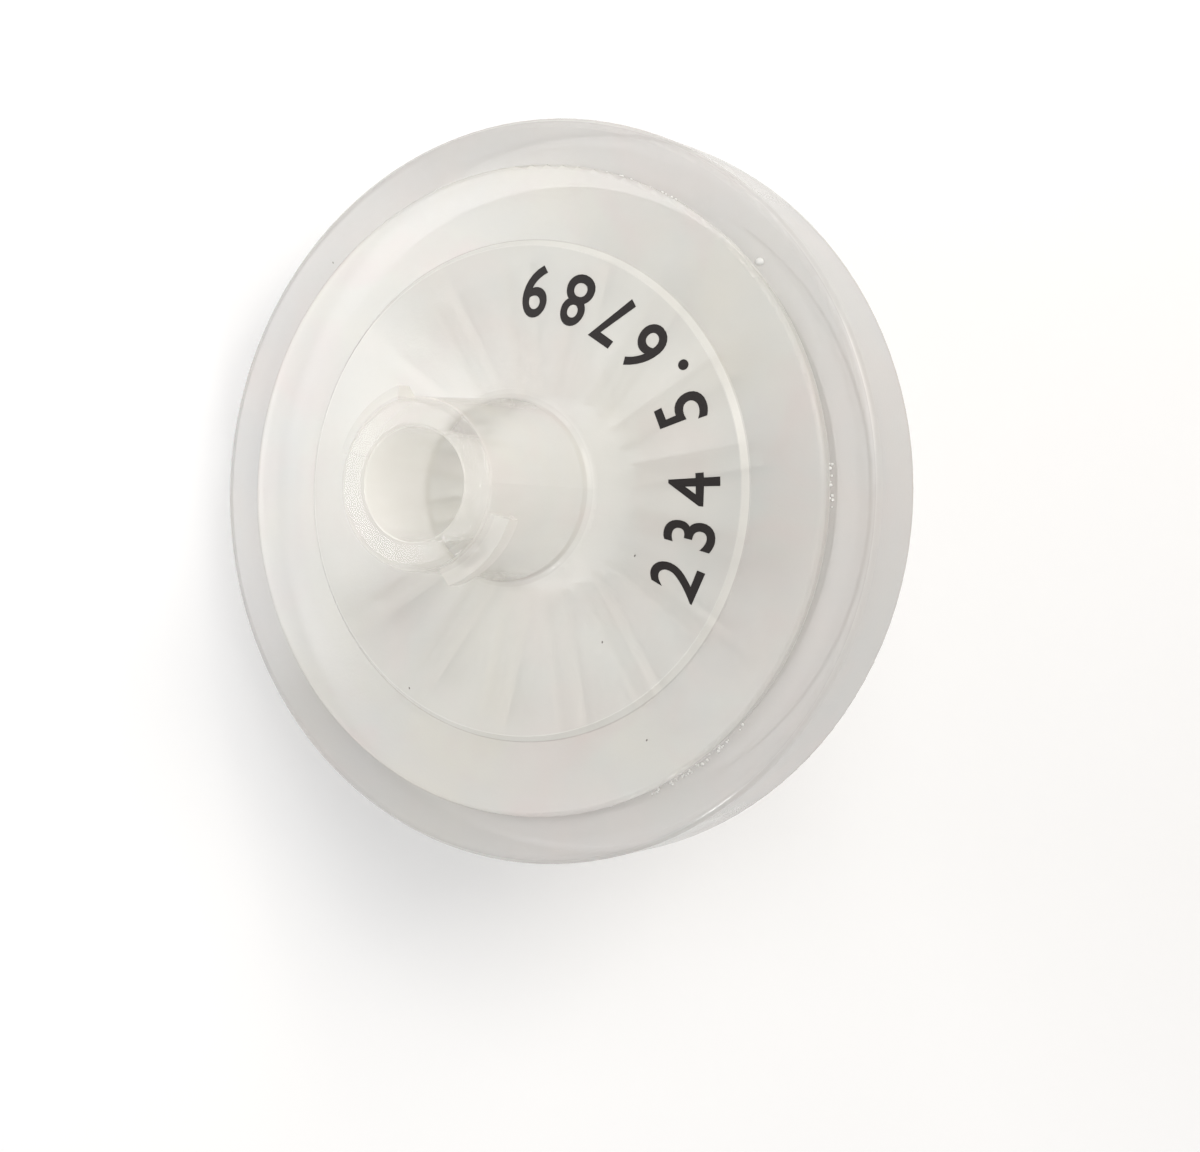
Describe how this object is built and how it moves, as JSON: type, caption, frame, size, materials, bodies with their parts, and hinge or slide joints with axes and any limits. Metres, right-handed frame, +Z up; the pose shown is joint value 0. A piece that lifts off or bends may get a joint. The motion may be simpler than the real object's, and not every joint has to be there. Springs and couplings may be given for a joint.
{
  "type": "syringe filter",
  "caption": "Round disposable syringe filter: a membrane between two translucent plastic housings, locked by a moulded band, with a female lock inlet and a tapered male outlet.",
  "frame": {"origin": "on the table, under the middle of the filter's bounding box, as the filter lies at rest on the edge of its band and the tip of its outlet", "axes": "+Z up from the table; the flow axis lies in the XZ plane, with the inlet hub leaning towards -X and the outlet's tip on the +X side; +Y along the band's level diameter"},
  "size_m": [0.0256, 0.03, 0.0214],
  "materials": {
    "inlet_housing": "translucent natural polypropylene",
    "outlet_housing": "translucent natural polypropylene",
    "membrane": "matt white porous polymer",
    "sealing_band": "frosted translucent polypropylene"
  },
  "bodies": {
    "root": {"inlet_housing": "inlet_housing", "outlet_housing": "outlet_housing", "membrane": "membrane", "sealing_band": "sealing_band"}
  },
  "joints": []
}
